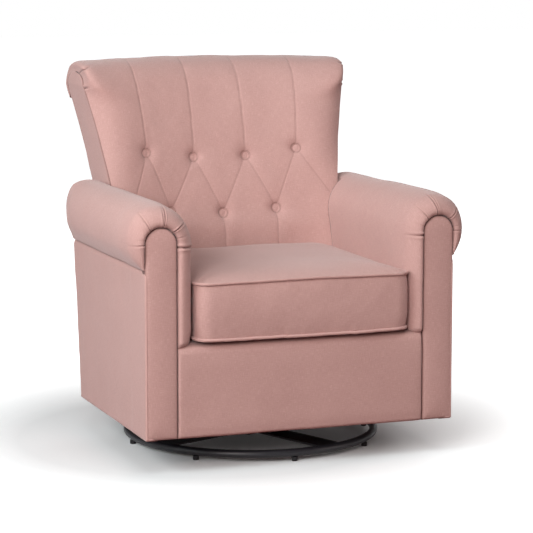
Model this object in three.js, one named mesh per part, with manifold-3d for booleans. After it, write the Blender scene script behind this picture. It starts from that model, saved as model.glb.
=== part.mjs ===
// A swivel glider nursery chair: an upholstered tub on a hardwood frame, hung from four swing links
// on a steel glide frame, which turns on a ball race over a round steel base.
// Millimetres, +Z up, the sitter faces -Y. The origin is on the floor under the middle of the chair.
import * as THREE from "three";
import { mergeVertices } from "three/addons/utils/BufferGeometryUtils.js";
import Module from "manifold-3d";

const wasm = await Module();
wasm.setup();

// ---- Driving dimensions ----
// Every y below is measured from the swivel axis; the whole chair is centred on its origin at the end.
const gap = 0.4; // between two pieces that touch
const running = 1.5; // between two pieces that pass each other
const floorGap = 82; // floor to the underside of the upholstery

const base = { ringRadius: 295, tubeRadius: 9.5, footHeight: 10, footRadius: 7, feet: 8, turn: Math.PI / 8 };
const crossBar = { width: 58, thickness: 5 };
const swivel = { lowerPlate: 150, upperPlate: 160, plateThickness: 3, raceRadius: 60, ballRadius: 3 };

const glide = { linkLength: 120, pivotY: 80, travel: 53 };
const member = { width: 44, thickness: 6 };
const bracket = { insideX: 214, thickness: 4, flange: 34, lobe: 16 };
const link = { insideX: 223.5, thickness: 5, radius: 13 };
const pin = { radius: 5, bore: 5.5, head: 9, headThickness: 3.4, shoulder: 8 };
const seatRail = { insideX: 230, thickness: 4, height: 39, pivotHeight: 20.4, halfLength: 140 };

const board = 22; // thickness of the frame's hardwood boards
const seatFrame = { boxTop: 268, sideTop: 198 };
const armFrame = { thickness: 18, top: 545, window: [-262, 110, 150, 440] };
const spring = { wire: 2.2, places: [-186, -62, 62, 186], waves: 6, reach: 22, crown: 15 };
const coverThickness = 2.2;

const arm = { bodyHalfWidth: 370, thickness: 108, front: -346, seamZ: 466, outerWall: 26, innerWall: 38 };
const armRear = { foot: 190, lean: 0.126, wall: 12 };
const roll = { overhang: 37, z: 520, halfWidth: 75, height: 85 };
const facing = { halfWidth: 37.5, archZ: 519.5, thickness: 22 };
const border = { thickness: 22, lip: 47, lipThickness: 22, edgeRadius: 22 };
const deck = { top: 298, thickness: 8, tuck: 24, rear: 140 };
const cushion = { sideGap: 5, front: -355, thickness: 128.6, crown: 26 };

const back = {
  top: 893,
  topRoll: 34,
  tuck: 25, // how far each side reaches behind the arms
  flare: 46, // how much each side widens above them
  flareFrom: 560,
  flareTo: 830,
  rearFoot: 196, // the outside of the back at the height of floorGap
  rearSlope: 0.2937, // how far it goes back for each unit up
  faceY: 168, // the middle of the pad's face, at faceZ
  faceZ: 430,
  faceSlope: 0.215,
  faceSweep: 2.0e-4,
  seamY: 172, // the side seam, at seamZ
  seamZ: 600,
  seamSlope: 0.34,
  edgeRound: 45,
  shell: 10,
  frameDepth: 45,
  frameFoot: 128, // along the leaning frame
};
const hollow = { low: 0.0003, high: 0.00105, from: 430, to: 660 }; // how much the face is hollowed across
const button = { radius: 11.5, height: 8, dimple: 14, dimpleRadius: 34 };
const buttonPlaces = [
  ["upper_button_1", -195, 666],
  ["upper_button_2", -68, 651],
  ["upper_button_3", 68, 651],
  ["upper_button_4", 195, 666],
  ["lower_button_1", -137, 522],
  ["lower_button_2", 0, 515],
  ["lower_button_3", 137, 522],
];

// ---- Where pieces meet ----
const armInnerX = arm.bodyHalfWidth - arm.thickness;
const armFrameX = arm.bodyHalfWidth - arm.outerWall;
const rollX = arm.bodyHalfWidth + roll.overhang - roll.halfWidth;
const backHalfWidth = armInnerX + back.tuck;
const railFoot = floorGap + coverThickness + gap;
const woodFoot = railFoot + seatRail.thickness + gap;
const lowPivotZ = railFoot + seatRail.pivotHeight;
const topPivotZ = lowPivotZ + glide.linkLength;
const cushionHalfWidth = armInnerX - cushion.sideGap;
const cushionFoot = deck.top + gap;
const cushionEdge = cushionFoot + cushion.thickness;

// ---- Materials ----
function finish(color, roughness, metalness) {
  return new THREE.MeshStandardMaterial({ color, roughness, metalness });
}


const materials = {
  fabric: finish(0xc49a94, 0.9, 0),
  blackSteel: finish(0x17171b, 0.45, 0.6),
  zinc: finish(0xa8abb0, 0.35, 0.9),
  wood: finish(0xc9a36f, 0.7, 0),
  rubber: finish(0x121214, 0.85, 0),
  lining: finish(0x1b1b1d, 0.95, 0),
  springWire: finish(0x4a4c50, 0.4, 0.8),
};

// ---- Solids ----
function toSolid(geometry) {
  const bare = geometry.index ? geometry.toNonIndexed() : geometry.clone();
  bare.deleteAttribute("normal");
  bare.deleteAttribute("uv");
  const merged = mergeVertices(bare, 1e-3);
  const vertProperties = merged.attributes.position.array;
  const triVerts = new Uint32Array(merged.index.array);
  return new wasm.Manifold(new wasm.Mesh({ numProp: 3, vertProperties, triVerts }));
}

function toGeometry(solid) {
  const mesh = solid.getMesh();
  const count = mesh.numVert;
  const positions = new Float32Array(count * 3);
  for (let i = 0; i < count; i++) {
    positions.set(mesh.vertProperties.subarray(i * mesh.numProp, i * mesh.numProp + 3), i * 3);
  }
  const geometry = new THREE.BufferGeometry();
  geometry.setAttribute("position", new THREE.BufferAttribute(positions, 3));
  geometry.setIndex(new THREE.BufferAttribute(new Uint32Array(mesh.triVerts), 1));
  return geometry;
}

// A box between two corners.
function block(x0, x1, y0, y1, z0, z1) {
  const geometry = new THREE.BoxGeometry(x1 - x0, y1 - y0, z1 - z0);
  return geometry.translate((x0 + x1) / 2, (y0 + y1) / 2, (z0 + z1) / 2);
}

// An outline drawn in Y and Z, extruded along X from x0 to x1.
function alongX(shape, x0, x1, curveSegments = 8) {
  const geometry = new THREE.ExtrudeGeometry(shape, { depth: x1 - x0, bevelEnabled: false, curveSegments });
  const turn = new THREE.Matrix4().makeBasis(
    new THREE.Vector3(0, 1, 0),
    new THREE.Vector3(0, 0, 1),
    new THREE.Vector3(1, 0, 0),
  );
  return geometry.applyMatrix4(turn).translate(x0, 0, 0);
}

// An outline drawn in X and Z, extruded along Y from y0 to y1.
function alongY(shape, y0, y1, curveSegments = 8) {
  const geometry = new THREE.ExtrudeGeometry(shape, { depth: y1 - y0, bevelEnabled: false, curveSegments });
  return geometry.rotateX(Math.PI / 2).translate(0, y1, 0);
}

// A piece turned about the Y axis from points of [radius, height].
function turned(points, segments) {
  return new THREE.LatheGeometry(points.map(([radius, y]) => new THREE.Vector2(radius, y)), segments);
}

function outline(points) {
  return new THREE.Shape(points.map(([a, b]) => new THREE.Vector2(a, b)));
}

// A closed skin through level rings of equal count, each counter-clockwise from above, lowest first.
function loft(rings) {
  const count = rings[0].length;
  const positions = rings.flat().flatMap((p) => [p.x, p.y, p.z]);
  const index = [];
  for (let r = 0; r + 1 < rings.length; r++) {
    for (let i = 0; i < count; i++) {
      const a = r * count + i;
      const b = r * count + ((i + 1) % count);
      index.push(a, b, b + count, a, b + count, a + count);
    }
  }
  const cap = (ring) => THREE.ShapeUtils.triangulateShape(ring.map((p) => new THREE.Vector2(p.x, p.y)), []);
  cap(rings[0]).forEach(([a, b, c]) => index.push(a, c, b));
  const last = (rings.length - 1) * count;
  cap(rings[rings.length - 1]).forEach(([a, b, c]) => index.push(last + a, last + b, last + c));
  const geometry = new THREE.BufferGeometry();
  geometry.setAttribute("position", new THREE.Float32BufferAttribute(positions, 3));
  geometry.setIndex(index);
  return geometry;
}

// ---- Assembly ----
const chair = new THREE.Group();
const sides = [
  ["left", 1],
  ["right", -1],
];

function place(name, geometry, material, parent = chair) {
  const mesh = new THREE.Mesh(geometry, material);
  mesh.name = name;
  parent.add(mesh);
  return mesh;
}

// A piece made for the sitter's left, +X, and its mirror image on the right.
function placePair(name, geometry, material) {
  for (const [side, sign] of sides) {
    place(`${side}_${name}`, geometry, material).scale.x = sign;
  }
}

// ---- Base: ring, cross, feet and swivel ----
const ringZ = base.footHeight + base.tubeRadius;
const crossTop = ringZ + crossBar.thickness / 2;
const lowerPlateTop = crossTop + gap + swivel.plateThickness;
const raceZ = lowerPlateTop + gap + swivel.ballRadius;
const upperPlateFoot = raceZ + swivel.ballRadius + gap;
const memberFoot = upperPlateFoot + swivel.plateThickness;
const memberTop = memberFoot + member.thickness;

function addBase() {
  const turnedBase = new THREE.Group();
  turnedBase.rotation.z = base.turn;
  chair.add(turnedBase);

  const ring = new THREE.TorusGeometry(base.ringRadius, base.tubeRadius, 8, 48).translate(0, 0, ringZ);
  place("base_ring", ring, materials.blackSteel, turnedBase);

  const reach = (base.ringRadius - base.tubeRadius) * Math.cos(Math.PI / 48) - gap;
  const bar = (angle) => toSolid(
    block(-base.ringRadius, base.ringRadius, -crossBar.width / 2, crossBar.width / 2,
      ringZ - crossBar.thickness / 2, crossTop).rotateZ(angle),
  );
  const disc = new THREE.CylinderGeometry(reach, reach, 40, 96).rotateX(Math.PI / 2).translate(0, 0, ringZ);
  const cross = bar(0).add(bar(Math.PI / 2)).intersect(toSolid(disc));
  place("base_cross", toGeometry(cross), materials.blackSteel, turnedBase);

  for (let i = 0; i < base.feet; i++) {
    const angle = ((i + 0.5) * 2 * Math.PI) / base.feet;
    const r = base.footRadius;
    const top = base.footHeight - gap;
    const foot = turned([[0, 0], [r - 1.5, 0], [r, 1.5], [r, top], [0, top]], 12).rotateX(Math.PI / 2);
    const mesh = place(`base_foot_${i + 1}`, foot, materials.rubber, turnedBase);
    mesh.position.set(base.ringRadius * Math.cos(angle), base.ringRadius * Math.sin(angle), 0);
  }

  const half = swivel.lowerPlate / 2;
  const lower = block(-half, half, -half, half, crossTop + gap, lowerPlateTop);
  place("swivel_lower_plate", lower, materials.zinc, turnedBase);
  const race = new THREE.TorusGeometry(swivel.raceRadius, swivel.ballRadius, 6, 24).translate(0, 0, raceZ);
  place("swivel_ball_race", race, materials.zinc, turnedBase);
}

// ---- Glide frame, brackets, links and pins ----
const bracketFoot = memberTop + gap;
const bracketHalfDepth = glide.pivotY + bracket.lobe;
const bracketOutsideX = bracket.insideX + bracket.thickness;
const linkOutsideX = link.insideX + link.thickness;
const railOutsideX = seatRail.insideX + seatRail.thickness;

function hole(y, z, radius) {
  return new THREE.Path().absarc(y, z, radius, 0, 2 * Math.PI, true);
}

function addGlideFrame() {
  const half = swivel.upperPlate / 2;
  const reach = bracket.insideX - running;
  const memberAt = (y) => toSolid(
    block(-reach, reach, y - member.width / 2, y + member.width / 2, memberFoot - gap, memberTop),
  );
  const plate = toSolid(block(-half, half, -half, half, upperPlateFoot, memberFoot));
  const memberY = half - member.width / 2;
  const frame = plate.add(memberAt(-memberY)).add(memberAt(memberY));
  place("glide_frame", toGeometry(frame), materials.blackSteel);

  const shape = new THREE.Shape();
  shape.moveTo(-bracketHalfDepth, bracketFoot);
  shape.lineTo(bracketHalfDepth, bracketFoot);
  shape.lineTo(bracketHalfDepth, bracketFoot + 20);
  shape.absarc(glide.pivotY, topPivotZ, bracket.lobe, 0, Math.PI / 2);
  shape.absarc(-glide.pivotY, topPivotZ, bracket.lobe, Math.PI / 2, Math.PI);
  shape.lineTo(-bracketHalfDepth, bracketFoot + 20);
  for (const y of [-glide.pivotY, glide.pivotY]) {
    shape.holes.push(hole(y, topPivotZ, pin.bore));
  }
  const plateSolid = toSolid(alongX(shape, bracket.insideX, bracketOutsideX, 4));
  const flange = block(bracket.insideX - bracket.flange, bracketOutsideX - 1,
    -bracketHalfDepth, bracketHalfDepth, bracketFoot, bracketFoot + bracket.thickness);
  placePair("hanger_bracket", toGeometry(plateSolid.add(toSolid(flange))), materials.blackSteel);
}

const linkPlaces = [
  ["front", -glide.pivotY],
  ["rear", glide.pivotY],
];

// A turned pin along X from its inner head at x0; each step is [length, radius].
function turnedPin(x0, steps) {
  const profile = [[0, 0]];
  let along = 0;
  for (const [length, radius] of steps) {
    profile.push([radius, along], [radius, along + length]);
    along += length;
  }
  profile.push([0, along]);
  return turned(profile, 12).rotateZ(-Math.PI / 2).translate(x0, 0, 0);
}

function addLinks() {
  const play = 0.3;
  for (const [end, y] of linkPlaces) {
    const shape = new THREE.Shape();
    shape.absarc(y, topPivotZ, link.radius, 0, Math.PI);
    shape.absarc(y, lowPivotZ, link.radius, Math.PI, 2 * Math.PI);
    shape.holes.push(hole(y, topPivotZ, pin.bore), hole(y, lowPivotZ, pin.bore));
    placePair(`${end}_link`, alongX(shape, link.insideX, linkOutsideX, 8), materials.zinc);

    const top = turnedPin(bracket.insideX - play - pin.headThickness, [
      [pin.headThickness, pin.head],
      [bracket.thickness + 2 * play, pin.radius],
      [link.insideX - bracketOutsideX - 2 * play, pin.shoulder],
      [link.thickness + 2 * play, pin.radius],
      [pin.headThickness, pin.head],
    ]);
    placePair(`${end}_top_pin`, top.translate(0, y, topPivotZ), materials.zinc);

    const low = turnedPin(link.insideX - play - pin.headThickness, [
      [pin.headThickness, pin.head],
      [railOutsideX - link.insideX + 2 * play, pin.radius],
      [pin.headThickness, pin.head],
    ]);
    placePair(`${end}_low_pin`, low.translate(0, y, lowPivotZ), materials.zinc);
  }
}

// ---- Seat rails and hardwood seat frame ----
const frameHalfWidth = armFrameX - gap - armFrame.thickness - gap;
const frameFront = arm.front + border.thickness + gap;
const lean = Math.atan(back.rearSlope);
const stileFront = back.shell + back.frameDepth + 2 * gap;
const rearRailBack = back.rearFoot - stileFront * Math.cos(lean) + back.frameFoot * Math.sin(lean) - gap;
const rearRailFront = rearRailBack - board;

function armRearAt(z) {
  return armRear.foot + armRear.lean * (z - floorGap);
}

function addSeatFrame() {
  const half = seatRail.halfLength;
  const top = railFoot + seatRail.height;
  const shape = outline([[-half, railFoot], [half, railFoot], [half, top], [-half, top]]);
  for (const [, y] of linkPlaces) {
    shape.holes.push(hole(y, lowPivotZ, pin.bore));
  }
  const upright = toSolid(alongX(shape, seatRail.insideX, railOutsideX, 4));
  const flangeTop = railFoot + seatRail.thickness;
  const flange = block(railOutsideX - 1, frameHalfWidth, -half, half, railFoot, flangeTop);
  placePair("seat_rail", toGeometry(upright.add(toSolid(flange))), materials.blackSteel);

  const { boxTop, sideTop } = seatFrame;
  const w = frameHalfWidth;
  const sideFront = frameFront + board + gap;
  place("front_rail", block(-w, w, frameFront, frameFront + board, woodFoot, boxTop), materials.wood);
  place("rear_rail", block(-w, w, rearRailFront, rearRailBack, woodFoot, boxTop), materials.wood);
  const side = block(w - board, w, sideFront, rearRailFront - gap, woodFoot, sideTop);
  placePair("side_rail", side, materials.wood);

  const [y0, y1, z0, z1] = armFrame.window;
  const rear = armRearAt(woodFoot) - armRear.wall - gap;
  const front = frameFront;
  const panelTop = armFrame.top;
  const panel = outline([[front, woodFoot], [rear, woodFoot], [rear, panelTop], [front, panelTop]]);
  const windowPoints = [[y0, z0], [y0, z1], [y1, z1], [y1, z0]].map(([y, z]) => new THREE.Vector2(y, z));
  panel.holes.push(new THREE.Path(windowPoints));
  placePair("arm_frame", alongX(panel, w + gap, w + gap + armFrame.thickness), materials.wood);
}

// Zigzag springs from the front rail to the rear rail, with a low crown in the middle.
class SpringPath extends THREE.Curve {
  constructor(x, y0, y1, z) {
    super();
    Object.assign(this, { x, y0, y1, z });
  }

  getPoint(t, target = new THREE.Vector3()) {
    const swing = spring.reach * Math.sin(2 * Math.PI * spring.waves * t);
    const rise = spring.crown * Math.sin(Math.PI * t);
    return target.set(this.x + swing, this.y0 + (this.y1 - this.y0) * t, this.z + rise);
  }
}

function addSprings() {
  const section = new THREE.Shape().absarc(0, 0, spring.wire, 0, 2 * Math.PI);
  const y0 = frameFront + board / 2;
  const y1 = rearRailFront + board / 2;
  const z = seatFrame.boxTop + gap + spring.wire;
  spring.places.forEach((x, i) => {
    const extrudePath = new SpringPath(x, y0, y1, z);
    const steps = spring.waves * 6;
    const wire = new THREE.ExtrudeGeometry(section, { steps, curveSegments: 3, extrudePath });
    place(`seat_spring_${i + 1}`, wire, materials.springWire);
  });
}

// ---- Back: where its surfaces lie ----
const rearAt = (z) => back.rearFoot + back.rearSlope * (z - floorGap);
const seamAt = (z) => back.seamY + back.seamSlope * (z - back.seamZ);
const clamp01 = (t) => Math.min(1, Math.max(0, t));

function halfWidthAt(z) {
  const t = clamp01((z - back.flareFrom) / (back.flareTo - back.flareFrom));
  return backHalfWidth + back.flare * t ** 1.3;
}

function faceAt(x, z) {
  const up = z - back.faceZ;
  const t = clamp01((z - hollow.from) / (hollow.to - hollow.from));
  const bend = hollow.low + (hollow.high - hollow.low) * t;
  return back.faceY + back.faceSlope * up + back.faceSweep * up * up - bend * x * x;
}

// The face's height lines from one side seam round to the other, in plan, at height z.
function faceLine(z, inset, halfWidth) {
  const edge = halfWidth - back.edgeRound;
  const across = [-1, -0.75, -0.5, -0.25, 0, 0.25, 0.5, 0.75, 1];
  const flat = across.map((t) => [t * edge, faceAt(t * edge, z) + inset]);
  const y0 = faceAt(edge, z) + inset;
  const y1 = Math.max(seamAt(z) + inset, y0 + 5);
  const corner = [30, 60, 90].map((degrees) => {
    const a = (degrees * Math.PI) / 180;
    return [edge + back.edgeRound * Math.sin(a), y0 + (y1 - y0) * (1 - Math.cos(a))];
  });
  const mirrored = corner.map(([x, y]) => [-x, y]).reverse();
  return [...mirrored, ...flat, ...corner];
}

function seamLineAt(z) {
  return faceLine(z, 0, halfWidthAt(z)).at(-1)[1];
}

// A level slice of the back. sideInset thins it behind the side seams, where the shell's walls stand.
function backSlice(z, sideInset = 0, grow = 0) {
  const t = clamp01((z - (back.top - back.topRoll)) / back.topRoll);
  const inset = back.topRoll * (1 - Math.sqrt(1 - t * t));
  const halfWidth = halfWidthAt(z) - 0.6 * inset + grow;
  const line = faceLine(z, inset - grow, halfWidth);
  const [seamX, seamY] = line[line.length - 1];
  const innerX = seamX - sideInset;
  const rear = rearAt(Math.min(z, back.top - back.topRoll)) - inset + grow;
  const tail = [[innerX, seamY + gap], [innerX, rear], [-innerX, rear], [-innerX, seamY + gap]];
  return [...line, ...tail].map(([x, y]) => new THREE.Vector3(x, y, z));
}

const shellTop = back.top - back.topRoll - 8;
const padFoot = deck.top + gap;
const lowLevels = [back.faceZ, back.flareFrom - 40];
const flareHeight = back.flareTo - back.flareFrom;
const flareLevels = [0, 0.15, 0.3, 0.5, 0.7, 0.9].map((t) => back.flareFrom + t * flareHeight);
const rollLevels = [0, 0.5, 0.8, 0.95, 1].map((t) => back.top - back.topRoll * (1 - t));

// The space behind the back's rear face plane moved forward by depth, below height top.
function behindPlane(depth, top) {
  const width = 900;
  const far = 1200;
  const slab = new THREE.BoxGeometry(width, far, far * 2).translate(0, far / 2 - depth, 0);
  slab.rotateX(-lean).translate(0, back.rearFoot, floorGap);
  const below = block(-width, width, -far, far, -far, top);
  return toSolid(slab).intersect(toSolid(below));
}

// Stands a turned piece's +Y axis straight out of the pad's face at x, z.
function onFace(x, z) {
  const step = 1;
  const slopeX = (faceAt(x + step, z) - faceAt(x - step, z)) / (2 * step);
  const slopeZ = (faceAt(x, z + step) - faceAt(x, z - step)) / (2 * step);
  const normal = new THREE.Vector3(slopeX, -1, slopeZ).normalize();
  const turn = new THREE.Quaternion().setFromUnitVectors(new THREE.Vector3(0, 1, 0), normal);
  const point = new THREE.Vector3(x, faceAt(x, z), z);
  return new THREE.Matrix4().compose(point, turn, new THREE.Vector3(1, 1, 1));
}

function addBack() {
  const wall = back.shell + gap;
  const lower = [padFoot, ...lowLevels, ...flareLevels, shellTop + gap].map((z) => backSlice(z, wall));
  const upper = [shellTop + 2 * gap, ...rollLevels].map((z) => backSlice(z));
  let pad = toSolid(loft([...lower, ...upper])).subtract(behindPlane(stileFront + gap, shellTop + gap / 2));
  const { radius: r, dimple, dimpleRadius } = button;
  const funnel = [[0, -dimple], [r + 1, -dimple], [r + 5, 5 - dimple], [0.7 * dimpleRadius, -4]];
  const mouth = [[dimpleRadius, 2], [dimpleRadius, 30], [0, 30]];
  const dimpleShape = turned([...funnel, ...mouth], 16);
  for (const [, x, z] of buttonPlaces) {
    pad = pad.subtract(toSolid(dimpleShape.clone().applyMatrix4(onFace(x, z))));
  }
  place("inside_back_pad", toGeometry(pad), materials.fabric);

  const shellRing = (z) => {
    const w = halfWidthAt(z);
    const rear = rearAt(z);
    const lowFront = Math.min(rear - back.shell, armRear.foot - 4 - 0.047 * Math.max(0, z - padFoot));
    const front = z < back.flareFrom ? lowFront : seamLineAt(z) + 2 * gap;
    const inner = rear - back.shell / Math.cos(lean);
    const points = [[-w, front], [-w + back.shell, front], [-w + back.shell, inner]];
    const mirrored = points.map(([x, y]) => [-x, y]).reverse();
    return [...points, ...mirrored, [w, rear], [-w, rear]].map(([x, y]) => new THREE.Vector3(x, y, z));
  };
  const shellLevels = [floorGap, padFoot, ...lowLevels, ...flareLevels, shellTop];
  place("outside_back", loft(shellLevels.map(shellRing)), materials.fabric);

  const frame = new THREE.Group();
  frame.position.set(0, back.rearFoot, floorGap);
  frame.rotation.x = -lean;
  chair.add(frame);
  const rearY = -back.shell - 2 * gap;
  const frontY = -stileFront;
  const stileX = backHalfWidth - back.shell - 3;
  const stileTop = (shellTop - floorGap) / Math.cos(lean) - 20;
  const stile = block(stileX - board, stileX, frontY, rearY, back.frameFoot, stileTop);
  for (const [side, sign] of sides) {
    place(`${side}_back_stile`, stile, materials.wood, frame).scale.x = sign;
  }
  const railX = stileX - board - gap;
  const topRail = block(-railX, railX, frontY, rearY, stileTop - 70, stileTop);
  place("back_top_rail", topRail, materials.wood, frame);
  const lowRail = block(-railX, railX, frontY, rearY, 250, 320);
  place("back_low_rail", lowRail, materials.wood, frame);

  const h = button.height;
  const buttonProfile = [[0, 0], [r - 1, 0], [r, 2], [r * 0.9, h * 0.6], [r * 0.55, h * 0.92], [0, h]];
  const cap = turned(buttonProfile, 16).translate(0, gap - dimple, 0);
  for (const [name, x, z] of buttonPlaces) {
    place(name, cap.clone().applyMatrix4(onFace(x, z)), materials.fabric);
  }
}

// ---- Arms ----
// Everything in front of the arm's rear face, less a wall of the given thickness.
function armDepth(front, wall) {
  const top = 700;
  const shape = outline([[front, 0], [armRearAt(0) - wall, 0], [armRearAt(top) - wall, top], [front, top]]);
  return toSolid(alongX(shape, 0, 500));
}

function archShape(grow) {
  const x = arm.bodyHalfWidth - facing.halfWidth;
  const r = facing.halfWidth + grow;
  const shape = new THREE.Shape();
  shape.moveTo(x - r, floorGap - grow);
  shape.lineTo(x + r, floorGap - grow);
  shape.absarc(x, facing.archZ, r, 0, Math.PI);
  return shape;
}

function addArms() {
  const innerFoot = deck.top + gap;
  const shape = new THREE.Shape();
  shape.moveTo(armFrameX, floorGap);
  shape.lineTo(arm.bodyHalfWidth, floorGap);
  shape.lineTo(arm.bodyHalfWidth, arm.seamZ);
  shape.absellipse(rollX, roll.z, roll.halfWidth, roll.height, -0.7, 0, false, 0);
  shape.absellipse(rollX, roll.z, roll.halfWidth, roll.height, 0, Math.PI, false, 0);
  shape.lineTo(armInnerX, innerFoot);
  shape.lineTo(armFrameX, innerFoot);
  const rearMost = armRearAt(roll.z + roll.height) + 1;
  const whole = toSolid(alongY(shape, arm.front, rearMost, 8));

  // Behind the front slab the arm is a skin round its plywood frame, closed by a wall at its rear end.
  const cavityX = armInnerX + arm.innerWall;
  const cavityFront = arm.front + facing.thickness + gap;
  const cavityTop = armFrame.top + 7;
  const cavity = toSolid(block(cavityX, armFrameX, cavityFront, rearMost, 0, cavityTop));
  const hollowed = whole.subtract(cavity.intersect(armDepth(cavityFront - 1, armRear.wall)));
  const endX = backHalfWidth + running;
  const endBlock = toSolid(block(endX, armFrameX + 1, 0, rearMost, floorGap, innerFoot + 1));
  const skin = hollowed.add(endBlock.subtract(armDepth(-1, armRear.wall)));

  const slot = toSolid(alongY(archShape(gap), arm.front - 1, cavityFront, 12));
  const backLevels = [padFoot - 1, ...lowLevels, ...flareLevels];
  const backSpace = toSolid(loft(backLevels.map((z) => backSlice(z, 0, 2 * running))));
  const pad = skin.intersect(armDepth(arm.front, 0)).subtract(slot).subtract(backSpace);
  placePair("arm_pad", toGeometry(pad), materials.fabric);

  const panel = alongY(archShape(0), arm.front, arm.front + facing.thickness, 12);
  placePair("arm_facing", panel, materials.fabric);
}

// ---- Seat upholstery ----
function addSeat() {
  const { thickness, lip, lipThickness, edgeRadius } = border;
  const top = deck.top;
  const borderHalfWidth = arm.bodyHalfWidth - 2 * facing.halfWidth - running;
  const front = arm.front;
  const shape = new THREE.Shape();
  shape.moveTo(front + thickness, floorGap);
  shape.lineTo(front + thickness, top - lipThickness);
  shape.lineTo(front + lip, top - lipThickness);
  shape.lineTo(front + lip, top);
  shape.absarc(front + edgeRadius, top - edgeRadius, edgeRadius, Math.PI / 2, Math.PI);
  shape.lineTo(front, floorGap);
  place("front_border", alongX(shape, -borderHalfWidth, borderHalfWidth, 6), materials.fabric);

  const deckHalfWidth = armInnerX + deck.tuck;
  const deckFoot = deck.top - deck.thickness;
  const deckBlock = block(-deckHalfWidth, deckHalfWidth, front + lip + gap, deck.rear, deckFoot, deck.top);
  place("seat_deck", deckBlock, materials.lining);

  const coverX = armFrameX - gap;
  const coverRear = armRear.foot - armRear.wall - gap;
  const cover = toSolid(block(-coverX, coverX, frameFront, coverRear, floorGap, floorGap + coverThickness));
  const windowX = seatRail.insideX - 1;
  const windowY = bracketHalfDepth + glide.travel + 4 * running;
  const window = toSolid(block(-windowX, windowX, -windowY, windowY, 0, 2 * floorGap));
  place("dust_cover", toGeometry(cover.subtract(window)), materials.lining);
  place("seat_cushion", cushionShape(), materials.fabric);
}

// A box cushion whose top is crowned and whose rear leans with the back.
function cushionShape() {
  const foot = cushionFoot;
  const rearFoot = faceAt(cushionHalfWidth, foot) - running;
  const rearTop = faceAt(cushionHalfWidth, cushionEdge) - running;
  const depth = rearTop - cushion.front;
  const geometry = new THREE.BoxGeometry(2 * cushionHalfWidth, depth, cushionEdge - foot, 8, 8, 1);
  geometry.translate(0, cushion.front + depth / 2, (foot + cushionEdge) / 2);
  const p = geometry.attributes.position;
  for (let i = 0; i < p.count; i++) {
    const u = p.getX(i) / cushionHalfWidth;
    const v = (2 * (p.getY(i) - cushion.front)) / depth - 1;
    if (p.getZ(i) > foot + 1) {
      p.setZ(i, cushionEdge + cushion.crown * (1 - u ** 4) * (1 - v ** 4));
    } else {
      p.setY(i, cushion.front + ((p.getY(i) - cushion.front) * (rearFoot - cushion.front)) / depth);
    }
  }
  geometry.deleteAttribute("normal");
  geometry.deleteAttribute("uv");
  return mergeVertices(geometry, 1e-3);
}

addBase();
addGlideFrame();
addLinks();
addSeatFrame();
addSprings();
addBack();
addArms();
addSeat();

// The chair is centred between its foremost and rearmost points.
chair.position.y = -(cushion.front + rearAt(back.top - back.topRoll)) / 2;
const part = new THREE.Group();
part.add(chair);

export default part;
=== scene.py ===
import math

import bmesh
import bpy
import numpy as np
from mathutils import Matrix, Vector, noise


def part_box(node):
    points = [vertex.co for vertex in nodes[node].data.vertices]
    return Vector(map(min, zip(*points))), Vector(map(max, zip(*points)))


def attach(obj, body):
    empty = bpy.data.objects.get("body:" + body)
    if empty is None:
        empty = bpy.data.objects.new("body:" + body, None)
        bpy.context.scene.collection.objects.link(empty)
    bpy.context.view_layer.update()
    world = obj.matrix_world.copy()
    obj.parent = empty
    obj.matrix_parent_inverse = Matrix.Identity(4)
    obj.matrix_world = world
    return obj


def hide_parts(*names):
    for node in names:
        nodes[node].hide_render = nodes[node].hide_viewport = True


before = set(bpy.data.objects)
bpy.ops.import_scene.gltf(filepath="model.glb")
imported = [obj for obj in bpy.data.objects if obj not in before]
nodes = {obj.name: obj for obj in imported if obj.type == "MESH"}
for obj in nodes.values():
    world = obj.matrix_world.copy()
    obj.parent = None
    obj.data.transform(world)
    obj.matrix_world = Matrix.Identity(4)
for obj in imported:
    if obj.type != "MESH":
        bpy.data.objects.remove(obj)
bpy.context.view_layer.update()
bpy.ops.object.select_all(action="DESELECT")

studio = {
    "target": (0.0, -0.0346, 0.450),
    "azimuth": -20.0,  # degrees, from straight in front
    "elevation": 7.9,
    "distance": 5.4675,
    "lens": 155.3,
    "shift": (0.0302, -0.0328),
}


def newObject(name, data):
    made = bpy.data.objects.new(name, data)
    bpy.context.scene.collection.objects.link(made)
    return made


def makeCamera():
    turn = math.radians(studio["azimuth"])
    rise = math.radians(studio["elevation"])
    back = Vector((math.sin(turn) * math.cos(rise), -math.cos(turn) * math.cos(rise), math.sin(rise)))
    lens = bpy.data.cameras.new("camera")
    lens.lens = studio["lens"]
    lens.sensor_width = 36
    lens.shift_x, lens.shift_y = studio["shift"]
    lens.clip_end = 100
    seen = newObject("camera", lens)
    seen.location = Vector(studio["target"]) + back * studio["distance"]
    seen.rotation_euler = back.to_track_quat("Z", "Y").to_euler()
    bpy.context.scene.camera = seen


lamps = {
    # name: place, point aimed at, width, height, watts, colour
    "left": ((-3.0, -1.1, 1.8), (0, 0, 0.5), 1.8, 1.8, 80, (0.90, 0.98, 1.0)),
    "left_front": ((-2.6, -3.6, 2.1), (0, 0, 0.45), 1.8, 1.8, 106, (1.0, 0.93, 0.91)),
    "top_front": ((-0.4, -1.9, 2.9), (0, 0, 0.55), 2.2, 1.6, 35, (0.93, 0.99, 1.0)),
    "right": ((3.2, -2.4, 1.2), (0, 0, 0.5), 1.6, 1.6, 18, (1.0, 0.84, 0.80)),
    "right_rear": ((2.4, 3.2, 2.0), (0, 0, 0.5), 2.0, 1.8, 38, (1.0, 1.0, 1.0)),
}


def makeLamps():
    for name, (place, aim, width, height, watts, tone) in lamps.items():
        light = bpy.data.lights.new(name, "AREA")
        light.shape = "RECTANGLE"
        light.size = width
        light.size_y = height
        light.energy = watts
        light.color = tone
        lamp = newObject(name, light)
        lamp.location = place
        lamp.rotation_euler = (Vector(place) - Vector(aim)).to_track_quat("Z", "Y").to_euler()


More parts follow.
